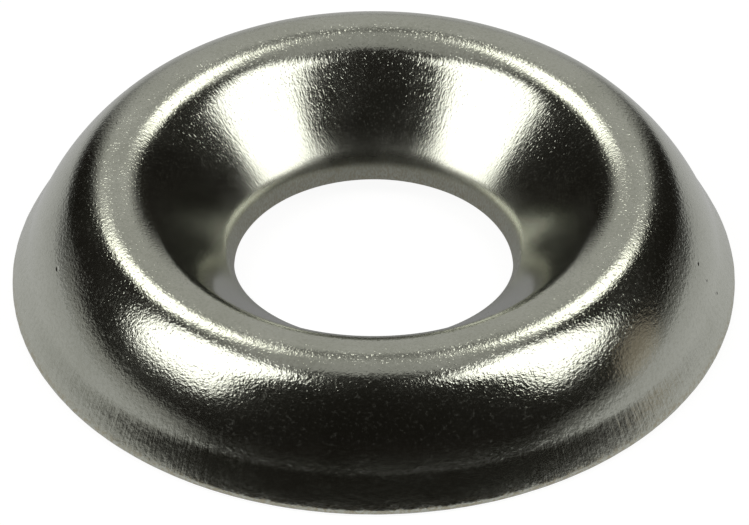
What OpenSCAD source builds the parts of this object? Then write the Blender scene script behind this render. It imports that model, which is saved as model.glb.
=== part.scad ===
// Finishing cup washer: one ring pressed from sheet, hollow underneath,
// with a countersunk cup that takes the head of a flat-headed screw.
// The rim sits on the plane z = 0 and the screw runs down the Z axis. Sizes are in millimetres.

/* [Screw cup] */
// Diameter of the pierced screw hole
hole_d = 5.5; // [4:0.1:8]
// Angle across the countersunk cup, from side to side
cup_angle = 96.5; // [80:0.5:105]
// Radius where the cup rolls over into the hole
lip_r = 0.7; // [0.2:0.02:0.9]
// Length of the straight wall of the hole
wall_h = 0.1; // [0.06:0.02:0.3]
// Gap between the seat and the foot of the cup
foot_gap = 0.34; // [0.1:0.02:0.5]

/* [Ring] */
// Height of the crest above the seat
height = 2.44; // [2:0.02:3]
// Thickness of the sheet
sheet_t = 0.5; // [0.3:0.05:0.8]
// Radius of the rolled crest, on the outside
crest_r = 1.25; // [0.95:0.05:1.5]
// Radius of the broad shoulder between crest and skirt, on the outside
shoulder_r = 4; // [2.5:0.1:5]
// Angle through which the shoulder bends
shoulder_sweep = 18; // [8:1:23]

/* [Rim] */
// How far the rim reaches outside the top of the crest
skirt_w = 2.03; // [1.8:0.01:2.4]
// Length of the straight skirt, from the shoulder down to the crease
skirt_run = 0.25; // [0.1:0.05:0.5]
// Lean of the flared band under the crease, above the seat
band_angle = 63; // [58:1:68]
// Radius of the outer edge of the rim
rim_r = 0.1; // [0.06:0.02:0.2]

/* [Hidden] */
$fn = 128;

// Rounds stand this much proud of the runs they meet, so that the two cross cleanly
proud = 0.0002;
// Extra sweep that carries the shoulder's round past its meeting with the skirt
overrun = 3;
// Depths under the seat to which the ring's form, its hollow and the cuts around it run
form_depth = height;
hollow_depth = 2 * height;
cut_depth = 3 * height;

hole_r = hole_d / 2;
wall_top = foot_gap + wall_h;
cup_slope = 90 - cup_angle / 2;

// A slope is measured from the seat: positive on the skirt, zero on the crest, negative in the cup.
// Points are [radius, height].
function outward(slope) = [sin(slope), cos(slope)];
function uphill(slope) = [-cos(slope), sin(slope)];

// Where two lines that meet at a corner cross after both have moved inward
function inset_corner(corner, slope_a, slope_b, inset) =
    let (a = outward(slope_a), b = outward(slope_b))
    corner - (a + b) * inset / (1 + a * b);

// Point at a given height on the line of a given slope through a point
function at_height(point, slope, z) =
    point + uphill(slope) * (z - point[1]) / sin(slope);

// The cup: the lip rolls out of the hole's wall, and the cone runs up from it to the crest
lip_centre = [hole_r + lip_r - proud, wall_top];
lip_touch = lip_centre + (lip_r - proud) * outward(-cup_slope);
crest_z = height - crest_r;
cone_rise = crest_z + (crest_r - proud) * cos(cup_slope) - lip_touch[1];
cone_run = cone_rise / tan(cup_slope);
crest_centre = [lip_touch[0] + cone_run + (crest_r - proud) * sin(cup_slope), crest_z];

// The rim: a small round, from which the flared band leaves along its tangent
outer_r = crest_centre[0] + skirt_w;
rim_centre = [outer_r - rim_r, rim_r - proud];
rim_touch = rim_centre + (rim_r - proud) * outward(band_angle);
band_distance = (rim_touch - crest_centre) * outward(band_angle);

// The shoulder: a broad round that leaves the crest along its tangent and ends on the skirt.
// The skirt's distance from the crest's centre and the crease's place down the skirt follow from the sweep.
// The skirt leans so that the crease falls on the line of the band.
shoulder_reach = shoulder_r - crest_r + proud;
skirt_distance = shoulder_r - proud - shoulder_reach * cos(shoulder_sweep);
crease_drop = shoulder_reach * sin(shoulder_sweep) + skirt_run;
skirt_slope = band_angle + acos(band_distance / norm([skirt_distance, crease_drop]))
    - atan2(crease_drop, skirt_distance);
blend_slope = skirt_slope - shoulder_sweep;
shoulder_centre = crest_centre - shoulder_reach * outward(blend_slope);
crease = skirt_end(0) - skirt_run * uphill(skirt_slope);

// Ends of the straight runs of a surface that lies at a depth inside the sheet
function skirt_end(inset) = shoulder_centre + (shoulder_r - proud - inset) * outward(skirt_slope);
function cone_end(inset) = crest_centre + (crest_r - proud - inset) * outward(-cup_slope);
function band_corner(inset) = inset_corner(crease, band_angle, skirt_slope, inset);

// The rounds of crest and shoulder at a depth inside the sheet
module rolled_top(inset) {
    arc_r = shoulder_r - inset;
    last_slope = skirt_slope + overrun;
    translate(crest_centre)
        circle(r = crest_r - inset);
    intersection() {
        translate(shoulder_centre)
            circle(r = arc_r);
        polygon([
            crest_centre,
            shoulder_centre + (arc_r + height) * outward(blend_slope),
            shoulder_centre + (arc_r + height) * outward(last_slope),
            shoulder_centre + (arc_r - crest_r) * outward(last_slope)
        ]);
    }
}

// Everything under the upper surface, across the hole and below the seat too
module ring_form() {
    polygon([
        [0, -form_depth],
        [rim_centre[0], -form_depth],
        rim_centre,
        rim_touch,
        crease,
        skirt_end(0),
        crest_centre,
        cone_end(0),
        lip_touch,
        lip_centre,
        [0, wall_top]
    ]);
    rolled_top(0);
    translate(rim_centre)
        circle(r = rim_r);
    translate(lip_centre)
        circle(r = lip_r);
}

// The hollow under the sheet, open at the seat
module hollow() {
    polygon([
        at_height(band_corner(sheet_t), band_angle, -hollow_depth),
        band_corner(sheet_t),
        skirt_end(sheet_t),
        crest_centre,
        cone_end(sheet_t),
        at_height(cone_end(sheet_t), -cup_slope, -hollow_depth)
    ]);
    rolled_top(sheet_t);
}

// What is cut off the sheet: below the seat, below the cup's foot and down the hole
module cuts() {
    translate([0, -cut_depth]) {
        square([outer_r + rim_r, cut_depth]);
        square([crest_centre[0], cut_depth + foot_gap]);
        square([hole_r, cut_depth + height]);
    }
}

module cup_washer() {
    color([0.68, 0.66, 0.6])
        rotate_extrude()
            difference() {
                ring_form();
                hollow();
                cuts();
            }
}

cup_washer();
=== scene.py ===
"""Finishing cup washer: nickel plate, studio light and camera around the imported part.

The washer's sizes are millimetres, as in the part's source. They become metres where a mesh,
a lamp or the camera is made. Azimuth 0 is the side that the camera stands on, and 90 is to its right.
"""

import math

import bpy
from mathutils import Matrix, Vector, noise


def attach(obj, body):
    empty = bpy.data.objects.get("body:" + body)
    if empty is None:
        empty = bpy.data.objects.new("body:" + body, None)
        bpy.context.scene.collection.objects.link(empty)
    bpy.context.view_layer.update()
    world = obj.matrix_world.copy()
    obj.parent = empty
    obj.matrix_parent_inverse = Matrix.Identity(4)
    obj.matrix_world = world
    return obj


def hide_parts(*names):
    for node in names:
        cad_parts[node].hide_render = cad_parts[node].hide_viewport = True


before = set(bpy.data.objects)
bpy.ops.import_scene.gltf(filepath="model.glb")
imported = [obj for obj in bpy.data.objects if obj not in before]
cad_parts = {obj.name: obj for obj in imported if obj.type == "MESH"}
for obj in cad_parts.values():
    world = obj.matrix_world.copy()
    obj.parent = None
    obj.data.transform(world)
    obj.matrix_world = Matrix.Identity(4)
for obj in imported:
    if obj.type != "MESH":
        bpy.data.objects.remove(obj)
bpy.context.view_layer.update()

MM = 0.001
NODE = "cup_washer"

# Driving sizes of the washer, the same as in its source
HOLE_D = 5.5
CUP_ANGLE = math.radians(96.5)
LIP_R = 0.7
WALL_H = 0.1
FOOT_GAP = 0.34
HEIGHT = 2.44
SHEET_T = 0.5
CREST_R = 1.25
SHOULDER_R = 4.0
SHOULDER_SWEEP = math.radians(18)
SKIRT_W = 2.03
SKIRT_RUN = 0.25
BAND_ANGLE = math.radians(63)
RIM_R = 0.1

# Mesh: steps round the ring, the length of a step along each side of the sheet, and the broken edges
SEGMENTS = 520
UPPER_STEP = 0.07
UNDER_STEP = 0.16
EDGE_BREAK = 0.03
# Shares of the band and of the cone at which two marks of the section lie
HEM_SHARE = 0.2
CUP_SHARE = 0.7

# Relief of the pressed sheet. Inside the plain section: a slow waviness, a groove just under the crease,
# a slight bow of the band towards the rim, and a ragged roll where the rim's edge is worn.
# Outside it: a slight swell of the cone, with its top at a distance below the crest
WAVE_SIZE = 1.3
WAVE_DEPTH = 0.003
GROOVE_BELOW = 0.4
GROOVE_ABOVE = 0.35
GROOVE_DEPTH = 0.007
GROOVE_DROP = 0.08
GROOVE_RAG = 0.15
BOW_WIDTH = 0.6
BOW_DEPTH = 0.005
ROLL_WIDTH = 0.2
ROLL_DEPTH = 0.008
ROLL_EVEN = 0.8
SWELL_DROP = 0.45
SWELL_ABOVE = 1.1
SWELL_BELOW = 2.0
SWELL_HEIGHT = 0.024
# Rags that vary the groove, the roll, and the wear and painted shade: their size, and how much longer they
# run up the section
RAG_SIZE = 0.2
RAG_LENGTH = 4

# Grain of the plate: sizes of its blobs, hairs, draw lines and specks in millimetres, how much finer
# they are along the section than round the ring (below 1 they are drawn out), and its height in metres
PEEL_SIZE = 0.07
HAIR_SIZE = 0.06
LINE_SIZE = 0.08
SPECK_SIZE = 0.045
PEEL_PULL = 1.1
HAIR_PULL = 0.55
LINE_PULL = 0.06
GRAIN_HEIGHT = 6.5e-6
# Specks: the stretch of the noise over which they rise, and their height as a share of the grain's
SPECK_CUT = (0.6, 0.85)
SPECK_HEIGHT = 0.5
# Pits in the plate: azimuth in degrees, travel along the section and radius in millimetres
PITS = [(-75.7, 1.85, 0.06), (78.8, 1.69, 0.06), (78.3, 1.29, 0.04), (79.6, 0.84, 0.05)]
PIT_DEPTH = 2.0
# Colour of the plate, in clouds and flecks of these sizes, and a brown of worn edges and painted shade
CLOUD_SIZE = 1.6
FLECK_SIZE = 0.06
CLOUD_CUT = (0.3, 0.7)
WEAR_AND_SHADE_CUT = (0.42, 0.62)
PLATE_DARK = (0.56, 0.57, 0.49, 1)
PLATE_LIGHT = (0.68, 0.69, 0.61, 1)
# The brown is wear at the rim's edge, and painted shade on the lip and wall of the hole, where the plate
# looks darker and yellower by light reflected twice
PLATE_WORN_AND_SHADED = (0.5, 0.46, 0.34, 1)
BLACK = (0, 0, 0, 1)
# How much the plate is dimmed where it is seen in itself
ECHO_DIMMING = 0.35
# Roughness of the bright plate, and what a dull place adds to it
SMOOTHEST = 0.1
ROUGHEST = 0.15
DULLNESS = 0.28
# Fine matte specks: their size, the share of haze between and in them, and its roughness
HAZE_LEAST = 0.03
HAZE_MOST = 0.2
HAZE_SIZE = 0.06
HAZE_CUT = (0.55, 0.8)
HAZE_ROUGHNESS = 0.42
# The grain is spread on a drum of this radius, so that it has no seam round the ring
SPREAD_R = 5.0

# Camera
VIEW_ELEVATION = 39.33
VIEW_DISTANCE = 193.0
AIM_HEIGHT = 0.464
AIM_SIDE = 0.016
LENS = 470.0
SENSOR = 36.0
CLIP_NEAR = 0.001
CLIP_FAR = 10

# Floor: radius in metres, steps round its edge, the share of its white that no shadow dims,
# and what the lamps make of the rest
FLOOR_R = 0.45
FLOOR_STEPS = 96
FLOOR_WHITE = 0.8
FLOOR_LIT = 0.38
PAPER = (0.8, 0.8, 0.79, 1)
# The painted pool of light that the metal sees in the floor, in millimetres from the middle of the washer:
# under the washer (a painted shadow), close round it and far off, each with the brightness at the start
# and at the end
POOL_UNDER = (2.0, 7.0, 0.5, 1.0)
POOL_CLOSE = (7.3, 14, 0.5, 0.44)
POOL_FAR = (15, 150, 1.0, 0.25)
# Its painted shade in dark corners at the back: where they start and end in a direction of length 1, how
# far out they deepen in millimetres, and how dark they are from left to right
CORNER_FRONT = (0.25, 0.6)
CORNER_BACK = (0.97, 0.9)
CORNER_REACH = (9.0, 40)
CORNER_GLOOM = (-0.4, 0.4, 0.65, 0.9)

# Room, in parts of a direction of length 1. The paper sweep fades to the sides and to the front,
# and its brightness changes on the way up
ROOM_WHITE = (1, 1, 0.97, 1)
SWEEP_SIDES = (0.45, 0.22)
SWEEP_FRONT = (-0.1, 0.06)
SWEEP_LIGHT = (0.6, 1.0, 0.42, 0.32)
# A dim gap in the sweep, between the two strip lamps
GAP_SIDES = (0.11, 0.03)
GAP_BOTTOM = (0.69, 0.76)
GAP_TOP = (0.89, 0.83)
GAP_DIMMING = 0.6
# A low glow at the sides: where it ends on the way up, its brightness to the sides, and from left to right
GLOW_TOP = (0.15, 0.0)
GLOW_SIDES = (0.7, 1.0, 0.02, 0.28)
GLOW_LEAN = (-1.0, 1.0, 1.3, 0.7)
# A small warm card: its azimuth, elevation, outer and inner radius in degrees, and its brightness
CARD_PLACE = (92, 7)
CARD_OUTER = 12
CARD_INNER = 6
CARD_LIGHT = (0.008, 0.22)
CARD_WARM = (1, 0.87, 0.7, 1)

# Lamps: distance in metres, and the width in degrees over which their edges fade
LAMP_DISTANCE = 0.6
LAMP_FADE = 5.5
# How square a lamp's corners are: 2 is an ellipse, and a high number a rectangle
LAMP_SQUARENESS = 6.0
LAMP_WHITE = (1.0, 1.0, 0.97)
STRIP_WHITE = (1.0, 1.0, 0.92)
# Each lamp's name, azimuth, elevation, width, height and roll in degrees, brightness and colour
LAMPS = [
    ("lamp_left", -76.8, 47, 34.6, 48, 12, 2.2, LAMP_WHITE),
    ("lamp_right", 76, 48, 30.5, 47.5, -3, 2.2, LAMP_WHITE),
    ("lamp_back_left", -156.5, 51, 14.5, 18, -18, 2.4, STRIP_WHITE),
    ("lamp_back_right", 153, 52, 15, 16, 15, 2.3, STRIP_WHITE),
]


def toward(azimuth, elevation):
    """Direction from the washer, in degrees."""
    a = math.radians(azimuth)
    e = math.radians(elevation)
    return Vector((math.sin(a) * math.cos(e), -math.cos(a) * math.cos(e), math.sin(e)))


# The section of the sheet. A slope is positive on the skirt, zero on the crest and negative in the cup.

def outward(slope):
    """Direction out of a surface of that slope, as (radius, height)."""
    return Vector((math.sin(slope), math.cos(slope)))


def uphill(slope):
    return Vector((-math.cos(slope), math.sin(slope)))


def at_height(point, slope, z):
    return point + uphill(slope) * ((z - point.y) / math.sin(slope))


def inset_corner(corner, slope_a, slope_b, inset):
    """Where two lines that meet at a corner cross after both have moved inward."""
    a = outward(slope_a)
    b = outward(slope_b)
    return corner - (a + b) * (inset / (1 + a.dot(b)))


class Section:
    """Points along the outline of the sheet, with the travel to each and the travel at named marks."""

    def __init__(self):
        self.places = []
        self.travel = []
        self.marks = {}

    def add(self, place):
        step = (place - self.places[-1]).length if self.places else 0.0
        if self.places and step < 1e-6:
            return
        self.travel.append(self.travel[-1] + step if self.places else 0.0)
        self.places.append(place)

    def mark(self, name):
        self.marks[name] = self.travel[-1]

    def arc(self, centre, radius, start, end, step):
        count = max(3, math.ceil(abs(end - start) * radius / step))
        for i in range(count + 1):
            self.add(centre + outward(start + (end - start) * i / count) * radius)

    def line(self, end, step):
        start = self.places[-1]
        count = max(1, math.ceil((end - start).length / step))
        for i in range(1, count + 1):
            self.add(start.lerp(end, i / count))

    def broken_edge(self, corner, after, step):
        """A line up to a sharp corner, and a small round over it."""
        before = self.places[-1]
        start = corner + (before - corner).normalized() * EDGE_BREAK
        end = corner + (after - corner).normalized() * EDGE_BREAK
        self.line(start, step)
        self.add((start + end) / 4 + corner / 2)
        self.add(end)

    def normals(self):
        """Direction out of the sheet at each point."""
        count = len(self.places)
        ways = []
        for i in range(count):
            run = self.places[(i + 1) % count] - self.places[i - 1]
            ways.append(Vector((run.y, -run.x)).normalized())
        return ways


def washer_section():
    """The closed outline of the sheet, from the rim's edge over the crest and back underneath."""
    cup_slope = math.pi / 2 - CUP_ANGLE / 2
    hole_r = HOLE_D / 2
    wall_top = FOOT_GAP + WALL_H
    lip_centre = Vector((hole_r + LIP_R, wall_top))
    lip_touch = lip_centre + outward(-cup_slope) * LIP_R
    crest_z = HEIGHT - CREST_R
    cone_rise = crest_z + CREST_R * math.cos(cup_slope) - lip_touch.y
    crest_r = lip_touch.x + cone_rise / math.tan(cup_slope) + CREST_R * math.sin(cup_slope)
    crest_centre = Vector((crest_r, crest_z))
    rim_centre = Vector((crest_r + SKIRT_W - RIM_R, RIM_R))
    rim_touch = rim_centre + outward(BAND_ANGLE) * RIM_R
    band_distance = (rim_touch - crest_centre).dot(outward(BAND_ANGLE))
    reach = SHOULDER_R - CREST_R
    skirt_distance = SHOULDER_R - reach * math.cos(SHOULDER_SWEEP)
    crease_drop = reach * math.sin(SHOULDER_SWEEP) + SKIRT_RUN
    turn = math.acos(band_distance / math.hypot(skirt_distance, crease_drop))
    skirt_slope = BAND_ANGLE + turn - math.atan2(crease_drop, skirt_distance)
    blend_slope = skirt_slope - SHOULDER_SWEEP
    shoulder_centre = crest_centre - outward(blend_slope) * reach
    skirt_top = shoulder_centre + outward(skirt_slope) * SHOULDER_R
    crease = skirt_top - uphill(skirt_slope) * SKIRT_RUN
    seat_outer = Vector((rim_centre.x, 0))
    under_band = inset_corner(crease, BAND_ANGLE, skirt_slope, SHEET_T)
    under_cone = crest_centre + outward(-cup_slope) * (CREST_R - SHEET_T)
    foot_outer = at_height(under_cone, -cup_slope, FOOT_GAP)
    foot_inner = Vector((hole_r, FOOT_GAP))

    s = Section()
    s.add(rim_centre + outward(math.pi) * RIM_R)
    s.mark("edge")
    s.arc(rim_centre, RIM_R, math.pi, BAND_ANGLE, RIM_R / 6)
    s.mark("rim")
    s.line(rim_touch.lerp(crease, HEM_SHARE), UPPER_STEP / 2)
    s.mark("hem")
    s.line(crease, UPPER_STEP / 2)
    s.mark("crease")
    s.line(skirt_top, UPPER_STEP / 2)
    s.mark("skirt")
    s.arc(shoulder_centre, SHOULDER_R, skirt_slope, blend_slope, UPPER_STEP)
    s.mark("shoulder")
    s.arc(crest_centre, CREST_R, blend_slope, blend_slope / 4, UPPER_STEP)
    s.mark("brow")
    s.arc(crest_centre, CREST_R, blend_slope / 4, -cup_slope / 6, UPPER_STEP)
    s.mark("top")
    s.arc(crest_centre, CREST_R, -cup_slope / 6, -cup_slope / 2, UPPER_STEP)
    s.mark("inner")
    s.arc(crest_centre, CREST_R, -cup_slope / 2, -cup_slope, UPPER_STEP)
    s.mark("crest")
    cone_top = s.places[-1]
    s.line(cone_top.lerp(lip_touch, CUP_SHARE), UPPER_STEP)
    s.mark("cup")
    s.line(lip_touch, UPPER_STEP)
    s.mark("cone")
    s.arc(lip_centre, LIP_R, -cup_slope, -math.pi / 2, UPPER_STEP / 2)
    s.mark("lip")
    s.broken_edge(foot_inner, foot_outer, UPPER_STEP / 2)
    s.mark("wall")
    s.line(foot_outer, UNDER_STEP)
    s.line(under_cone, UNDER_STEP)
    s.arc(crest_centre, CREST_R - SHEET_T, -cup_slope, blend_slope, UNDER_STEP / 2)
    s.arc(shoulder_centre, SHOULDER_R - SHEET_T, blend_slope, skirt_slope, UNDER_STEP)
    s.line(under_band, UNDER_STEP)
    s.broken_edge(at_height(under_band, BAND_ANGLE, 0), seat_outer, UNDER_STEP)
    s.mark("under")
    s.line(seat_outer, UNDER_STEP)
    s.places.pop()
    s.travel.pop()
    return s


def share_along(section, stops):
    """A share for each point of the section, running straight between named marks."""
    places = [(section.marks[name], share) for name, share in stops]
    shares = []
    for travel in section.travel:
        before = [p for p in places if p[0] <= travel] or places[:1]
        after = [p for p in places if p[0] > travel] or places[-1:]
        (a, low), (b, high) = before[-1], after[0]
        part = (travel - a) / (b - a) if b > a else 0.0
        shares.append(low + (high - low) * min(1.0, max(0.0, part)))
    return shares


# Shares along the section, at its marks: how strong the grain is, how far it is drawn out into hairs,
# and where draw lines, specks, dull places, worn edges and painted shade in the hole lie
GRAIN_STOPS = [("rim", 0.9), ("crease", 0.7), ("skirt", 0.6), ("shoulder", 1.0), ("crest", 0.55),
               ("cone", 0.4), ("lip", 0.3), ("wall", 0.3), ("under", 0.8)]
HAIR_STOPS = [("rim", 1.0), ("skirt", 0.6), ("shoulder", 0.0), ("crest", 1.0), ("cone", 0.6),
              ("under", 0.5)]
LINE_STOPS = [("rim", 1.4), ("crease", 1.4), ("skirt", 0.3), ("shoulder", 0.0), ("wall", 0.0),
              ("under", 0.3)]
SPECK_STOPS = [("rim", 0.0), ("skirt", 0.1), ("shoulder", 0.5), ("brow", 0.6), ("top", 0.6),
               ("inner", 0.4), ("crest", 0.6), ("cup", 0.2), ("cone", 0.1), ("lip", 0.0),
               ("under", 0.0)]
DULL_STOPS = [("rim", 0.25), ("crease", 0.0), ("skirt", 0.0), ("crest", 0.0), ("cup", 0.0),
              ("cone", 0.4), ("lip", 1.0), ("wall", 1.0), ("under", 0.6)]
# Worn edges at the rim; on the lip and the wall of the hole the brown is painted shade
WEAR_AND_SHADE_STOPS = [("edge", 0.8), ("rim", 0.8), ("hem", 0.0), ("cone", 0.0), ("lip", 0.8), ("wall", 0.8),
              ("under", 0.3)]
SHARES = {
    "grain_share": GRAIN_STOPS,
    "hair_share": HAIR_STOPS,
    "line_share": LINE_STOPS,
    "speck_share": SPECK_STOPS,
    "dull_share": DULL_STOPS,
    "wear_and_shade_share": WEAR_AND_SHADE_STOPS,
}


def bell(share):
    """1 at the middle of a swelling, falling smoothly to 0 where the share reaches 1."""
    return 0.5 + 0.5 * math.cos(math.pi * share)


def relief(marks, drum, travel):
    """How far the worn sheet lies inside the plain section at a place. Outside it is less than zero."""
    wave = WAVE_DEPTH * (0.5 + 0.5 * noise.noise(drum / WAVE_SIZE))
    rag = noise.noise(Vector((drum.x, drum.y, drum.z / RAG_LENGTH)) / RAG_SIZE)
    above = travel - marks["crease"] + GROOVE_DROP
    across = min(1.0, max(-above / GROOVE_BELOW, above / GROOVE_ABOVE))
    groove = GROOVE_DEPTH * bell(across) * (1 + GROOVE_RAG * rag)
    from_edge = abs(travel - marks["rim"] + RIM_R / 2)
    bow = BOW_DEPTH * max(0.0, 1 - from_edge / BOW_WIDTH) ** 2
    roll = ROLL_DEPTH * max(0.0, 1 - from_edge / ROLL_WIDTH) ** 2 * max(0.0, ROLL_EVEN + rag)
    below = travel - marks["crest"] - SWELL_DROP
    from_top = min(1.0, max(-below / SWELL_ABOVE, below / SWELL_BELOW))
    return wave + groove + bow + roll - SWELL_HEIGHT * bell(from_top)


def ring_mesh(section):
    """Revolves the section into one closed mesh, with the values that its material reads."""
    count = len(section.places)
    turns = [2 * math.pi * i / SEGMENTS for i in range(SEGMENTS)]
    ways = section.normals()
    verts = []
    spread = []
    for turn in turns:
        x, y = math.sin(turn), -math.cos(turn)
        for place, way, travel in zip(section.places, ways, section.travel):
            drum = Vector((SPREAD_R * x, SPREAD_R * y, travel))
            at = place - way * relief(section.marks, drum, travel)
            verts.append((at.x * x * MM, at.x * y * MM, at.y * MM))
            spread.extend(drum)
    faces = []
    for i in range(SEGMENTS):
        here = i * count
        there = (i + 1) % SEGMENTS * count
        for k in range(count):
            after = (k + 1) % count
            faces.append((here + k, there + k, there + after, here + after))
    mesh = bpy.data.meshes.new("washer_skin")
    mesh.from_pydata(verts, [], faces)
    mesh.polygons.foreach_set("use_smooth", [True] * len(mesh.polygons))
    mesh.attributes.new("sheet_place", "FLOAT_VECTOR", "POINT").data.foreach_set("vector", spread)
    for name, stops in SHARES.items():
        values = share_along(section, stops) * SEGMENTS
        mesh.attributes.new(name, "FLOAT", "POINT").data.foreach_set("value", values)
    return mesh


# Materials

def add_node(tree, kind, values=None, **settings):
    """A node with its settings, and with each input in values set to a number or linked to an output."""
    node = tree.nodes.new("ShaderNode" + kind)
    for name, setting in settings.items():
        setattr(node, name, setting)
    for name, value in (values or {}).items():
        if isinstance(value, bpy.types.NodeSocket):
            tree.links.new(value, node.inputs[name])
        else:
            node.inputs[name].default_value = value
    return node


def calc(tree, operation, a, b=0.0):
    return add_node(tree, "Math", {0: a, 1: b}, operation=operation).outputs[0]


def ramp(tree, value, start, end, low=0.0, high=1.0):
    """A smooth step from low to high as the value goes from start to end."""
    values = {"Value": value, "From Min": start, "From Max": end, "To Min": low, "To Max": high}
    return add_node(tree, "MapRange", values, interpolation_type="SMOOTHSTEP").outputs["Result"]


def stretched(tree, place, x, y, z):
    return add_node(tree, "VectorMath", {0: place, 1: (x, y, z)}, operation="MULTIPLY").outputs[0]


def grain(tree, place, size, detail=0.0):
    """Soft random blobs of about that size in millimetres."""
    values = {"Vector": place, "Scale": 1 / size, "Detail": detail, "Roughness": 0.6}
    return add_node(tree, "TexNoise", values).outputs["Fac"]


def attribute(tree, name, output):
    return add_node(tree, "Attribute", attribute_name=name).outputs[output]


def between(tree, share, low, high):
    """A value that runs from low to high with the share."""
    return add_node(tree, "Mix", {"Factor": share, 2: low, 3: high}).outputs[0]


def mixed(tree, share, low, high):
    """A colour that runs from low to high with the share."""
    return add_node(tree, "Mix", {"Factor": share, 6: low, 7: high}, data_type="RGBA").outputs[2]


def new_tree(owner):
    owner.use_nodes = True
    owner.node_tree.nodes.clear()
    return owner.node_tree


def pits(tree, place):
    """1 in the middle of each pit, falling to 0 at its edge."""
    total = None
    for azimuth, travel, radius in PITS:
        spot = toward(azimuth, 0) * SPREAD_R + Vector((0, 0, travel))
        away = add_node(tree, "VectorMath", {0: place, 1: spot}, operation="DISTANCE").outputs["Value"]
        here = ramp(tree, away, radius, 0.0)
        total = here if total is None else calc(tree, "MAXIMUM", total, here)
    return total


def nickel_plate():
    """Bright plate over a tumbled, slightly orange-peeled sheet with draw lines near its rim."""
    material = bpy.data.materials.new("nickel_plate")
    tree = new_tree(material)
    place = attribute(tree, "sheet_place", "Vector")
    grain_share = attribute(tree, "grain_share", "Fac")
    hair_share = attribute(tree, "hair_share", "Fac")
    line_share = attribute(tree, "line_share", "Fac")
    speck_share = attribute(tree, "speck_share", "Fac")
    dull_share = attribute(tree, "dull_share", "Fac")
    wear_and_shade_share = attribute(tree, "wear_and_shade_share", "Fac")

    peel = grain(tree, stretched(tree, place, 1, 1, PEEL_PULL), PEEL_SIZE, 2.0)
    hair = grain(tree, stretched(tree, place, 1, 1, HAIR_PULL), HAIR_SIZE, 2.0)
    height = calc(tree, "MULTIPLY", between(tree, hair_share, peel, hair), grain_share)
    specks = ramp(tree, grain(tree, place, SPECK_SIZE), *SPECK_CUT, 0.0, SPECK_HEIGHT)
    height = calc(tree, "ADD", height, calc(tree, "MULTIPLY", specks, speck_share))
    lines = grain(tree, stretched(tree, place, 1, 1, LINE_PULL), LINE_SIZE, 3.0)
    height = calc(tree, "ADD", height, calc(tree, "MULTIPLY", lines, line_share))
    dents = pits(tree, place)
    height = calc(tree, "SUBTRACT", height, calc(tree, "MULTIPLY", dents, PIT_DEPTH))
    bump = add_node(tree, "Bump", {"Height": height, "Distance": GRAIN_HEIGHT, "Strength": 1.0})

    cloud = grain(tree, place, CLOUD_SIZE, 3.0)
    fleck = between(tree, 0.5, cloud, grain(tree, place, FLECK_SIZE, 1.0))
    tone = mixed(tree, ramp(tree, fleck, *CLOUD_CUT), PLATE_DARK, PLATE_LIGHT)
    # Brown of wear at the rim's edge, and painted shade on the lip and wall of the hole
    rags = ramp(tree, grain(tree, place, RAG_SIZE / 3, 2.0), *WEAR_AND_SHADE_CUT)
    tone = mixed(tree, calc(tree, "MULTIPLY", wear_and_shade_share, rags), tone, PLATE_WORN_AND_SHADED)
    echo = calc(tree, "MULTIPLY", ray_share(tree, "Is Glossy Ray"), ECHO_DIMMING)
    tone = mixed(tree, echo, tone, BLACK)
    rough = ramp(tree, cloud, *CLOUD_CUT, SMOOTHEST, ROUGHEST)
    rough = calc(tree, "ADD", rough, calc(tree, "MULTIPLY", dull_share, DULLNESS))
    plain = {"Base Color": tone, "Metallic": 1.0, "Normal": bump.outputs["Normal"]}
    bright = add_node(tree, "BsdfPrincipled", dict(plain, Roughness=rough))
    haze = add_node(tree, "BsdfPrincipled", dict(plain, Roughness=HAZE_ROUGHNESS))
    haze_share = ramp(tree, grain(tree, place, HAZE_SIZE, 1.0), *HAZE_CUT, HAZE_LEAST, HAZE_MOST)
    shader = add_node(tree, "MixShader", {0: haze_share, 1: bright.outputs[0], 2: haze.outputs[0]})
    add_node(tree, "OutputMaterial", {"Surface": shader.outputs[0]})
    return material


def ray_share(tree, *kinds):
    """1 where a ray is of one of these kinds, otherwise 0."""
    path = add_node(tree, "LightPath")
    total = path.outputs[kinds[0]]
    for kind in kinds[1:]:
        total = calc(tree, "MAXIMUM", total, path.outputs[kind])
    return total


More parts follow.
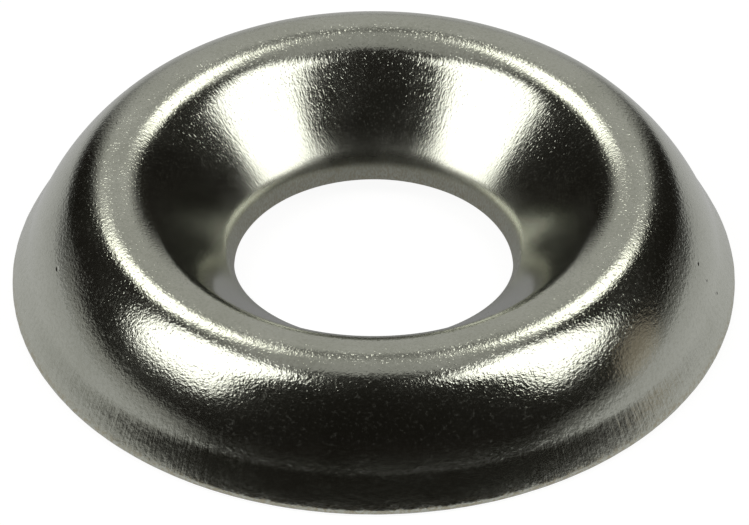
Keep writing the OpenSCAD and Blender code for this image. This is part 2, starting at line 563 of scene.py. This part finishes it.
def pale_floor():
    """White to the camera, with a soft shadow. In the metal it is a painted pool of light that fades
    outward.
    """
    material = bpy.data.materials.new("pale_floor")
    tree = new_tree(material)
    place = add_node(tree, "NewGeometry").outputs["Position"]
    away = add_node(tree, "VectorMath", {0: place}, operation="LENGTH").outputs["Value"]
    away = calc(tree, "DIVIDE", away, MM)
    way_out = add_node(tree, "VectorMath", {0: place}, operation="NORMALIZE").outputs[0]
    way = add_node(tree, "SeparateXYZ", {0: way_out})
    behind = way.outputs["Y"]
    # Painted pool of light in the floor, with a painted shadow under the washer
    close = ramp(tree, away, *POOL_CLOSE)
    close = calc(tree, "MULTIPLY", close, ramp(tree, away, *POOL_UNDER))
    far = ramp(tree, away, *POOL_FAR)
    # Painted shade in the floor's back corners
    gloom = ramp(tree, way.outputs["X"], *CORNER_GLOOM)
    corner = calc(tree, "MULTIPLY", ramp(tree, behind, *CORNER_FRONT), ramp(tree, behind, *CORNER_BACK))
    corner = calc(tree, "MULTIPLY", corner, ramp(tree, away, *CORNER_REACH, 0.0, gloom))
    pool = calc(tree, "MULTIPLY", calc(tree, "MULTIPLY", close, far), calc(tree, "SUBTRACT", 1.0, corner))

    paper = add_node(tree, "BsdfDiffuse", {"Color": PAPER})
    camera_ray = ray_share(tree, "Is Camera Ray")
    mirror_ray = ray_share(tree, "Is Glossy Ray", "Is Transmission Ray")
    white = (1 - (1 - FLOOR_WHITE) * FLOOR_LIT) / FLOOR_WHITE
    glow = add_node(tree, "Emission", {"Strength": between(tree, camera_ray, pool, white)})
    share = calc(tree, "MAXIMUM", calc(tree, "MULTIPLY", camera_ray, FLOOR_WHITE), mirror_ray)
    top = add_node(tree, "MixShader", {0: share, 1: paper.outputs[0], 2: glow.outputs[0]})
    below = add_node(tree, "NewGeometry").outputs["Backfacing"]
    clear = add_node(tree, "BsdfTransparent")
    both = add_node(tree, "MixShader", {0: below, 1: top.outputs[0], 2: clear.outputs[0]})
    add_node(tree, "OutputMaterial", {"Surface": both.outputs[0]})
    return material


# Studio

def link(piece):
    bpy.context.scene.collection.objects.link(piece)
    return piece


def floor():
    ring = [toward(360 * i / FLOOR_STEPS, 0) * FLOOR_R for i in range(FLOOR_STEPS)]
    mesh = bpy.data.meshes.new("floor")
    mesh.from_pydata(ring, [], [tuple(range(FLOOR_STEPS))])
    mesh.materials.append(pale_floor())
    link(bpy.data.objects.new("floor", mesh))


def studio_world():
    """White to the camera. Otherwise a dark room, with a paper sweep behind and overhead, a low glow
    at the sides and a small warm card low on the right."""
    world = bpy.data.worlds.new("studio")
    bpy.context.scene.world = world
    tree = new_tree(world)
    way_out = add_node(tree, "TexCoord").outputs["Generated"]
    way = add_node(tree, "SeparateXYZ", {0: way_out})
    across = calc(tree, "ABSOLUTE", way.outputs["X"])
    behind = way.outputs["Y"]
    upward = way.outputs["Z"]
    sweep = calc(tree, "MULTIPLY", ramp(tree, across, *SWEEP_SIDES), ramp(tree, behind, *SWEEP_FRONT))
    sweep = calc(tree, "MULTIPLY", sweep, ramp(tree, upward, *SWEEP_LIGHT))
    gap = calc(tree, "MULTIPLY", ramp(tree, across, *GAP_SIDES), ramp(tree, upward, *GAP_BOTTOM))
    gap = calc(tree, "MULTIPLY", gap, ramp(tree, upward, *GAP_TOP, 0.0, GAP_DIMMING))
    sweep = calc(tree, "MULTIPLY", sweep, calc(tree, "SUBTRACT", 1.0, gap))
    low = calc(tree, "MULTIPLY", ramp(tree, upward, *GLOW_TOP), ramp(tree, across, *GLOW_SIDES))
    low = calc(tree, "MULTIPLY", low, ramp(tree, way.outputs["X"], *GLOW_LEAN))
    light = calc(tree, "MAXIMUM", sweep, low)
    room = add_node(tree, "Background", {"Color": ROOM_WHITE, "Strength": light})
    to_card = {0: way_out, 1: toward(*CARD_PLACE)}
    facing = add_node(tree, "VectorMath", to_card, operation="DOT_PRODUCT").outputs["Value"]
    outer, inner = [math.cos(math.radians(radius)) for radius in (CARD_OUTER, CARD_INNER)]
    card = ramp(tree, facing, outer, inner, *CARD_LIGHT)
    warm = add_node(tree, "Background", {"Color": CARD_WARM, "Strength": card})
    both = add_node(tree, "AddShader", {0: room.outputs[0], 1: warm.outputs[0]})
    white = add_node(tree, "Background", {"Color": (1, 1, 1, 1), "Strength": 1.0})
    seen = ray_share(tree, "Is Camera Ray")
    mix = add_node(tree, "MixShader", {0: seen, 1: both.outputs[0], 2: white.outputs[0]})
    add_node(tree, "OutputWorld", {"Surface": mix.outputs[0]})


def from_middle(tree, place):
    """The distance from the middle of a lamp along one side, 1 at its edge, raised to the squareness."""
    away = calc(tree, "ABSOLUTE", calc(tree, "SUBTRACT", calc(tree, "MULTIPLY", place, 2.0), 1.0))
    return calc(tree, "POWER", away, LAMP_SQUARENESS)


def lamp(name, azimuth, elevation, width, height, roll, brightness, colour):
    """A soft box that faces the washer. Width, height and roll are degrees as the washer sees them."""
    data = bpy.data.lights.new(name, "AREA")
    data.shape = "RECTANGLE"
    spans = [part + LAMP_FADE for part in (width, height)]
    data.size, data.size_y = [2 * LAMP_DISTANCE * math.tan(math.radians(span) / 2) for span in spans]
    data.energy = brightness * math.pi * data.size * data.size_y
    data.color = colour
    tree = new_tree(data)
    spot = add_node(tree, "SeparateXYZ", {0: add_node(tree, "NewGeometry").outputs["Parametric"]})
    away = calc(tree, "ADD", from_middle(tree, spot.outputs["X"]), from_middle(tree, spot.outputs["Y"]))
    away = calc(tree, "POWER", away, 1 / LAMP_SQUARENESS)
    fade = 2 * LAMP_FADE / min(spans)
    glow = add_node(tree, "Emission", {"Strength": ramp(tree, away, 1.0, 1.0 - fade)})
    add_node(tree, "OutputLight", {"Surface": glow.outputs[0]})
    piece = link(bpy.data.objects.new(name, data))
    way = toward(azimuth, elevation)
    right = Vector((0, 0, 1)).cross(way).normalized()
    up = way.cross(right)
    turn = math.radians(roll)
    across = right * math.cos(turn) + up * math.sin(turn)
    over = up * math.cos(turn) - right * math.sin(turn)
    piece.location = way * LAMP_DISTANCE
    piece.rotation_euler = Matrix((across, over, way)).transposed().to_euler()
    piece.visible_camera = False


def camera():
    data = bpy.data.cameras.new("camera")
    data.sensor_width = SENSOR
    data.lens = LENS
    data.clip_start = CLIP_NEAR
    data.clip_end = CLIP_FAR
    piece = link(bpy.data.objects.new("camera", data))
    back = toward(0, VIEW_ELEVATION)
    piece.location = (Vector((AIM_SIDE, 0, AIM_HEIGHT)) + back * VIEW_DISTANCE) * MM
    piece.rotation_euler = (-back).to_track_quat("-Z", "Y").to_euler()
    bpy.context.scene.camera = piece


skin = link(bpy.data.objects.new("washer_skin", ring_mesh(washer_section())))
skin.data.materials.append(nickel_plate())
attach(skin, "root")
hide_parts(NODE)

floor()
studio_world()
for row in LAMPS:
    lamp(*row)
camera()
bpy.context.scene.view_settings.view_transform = "Standard"
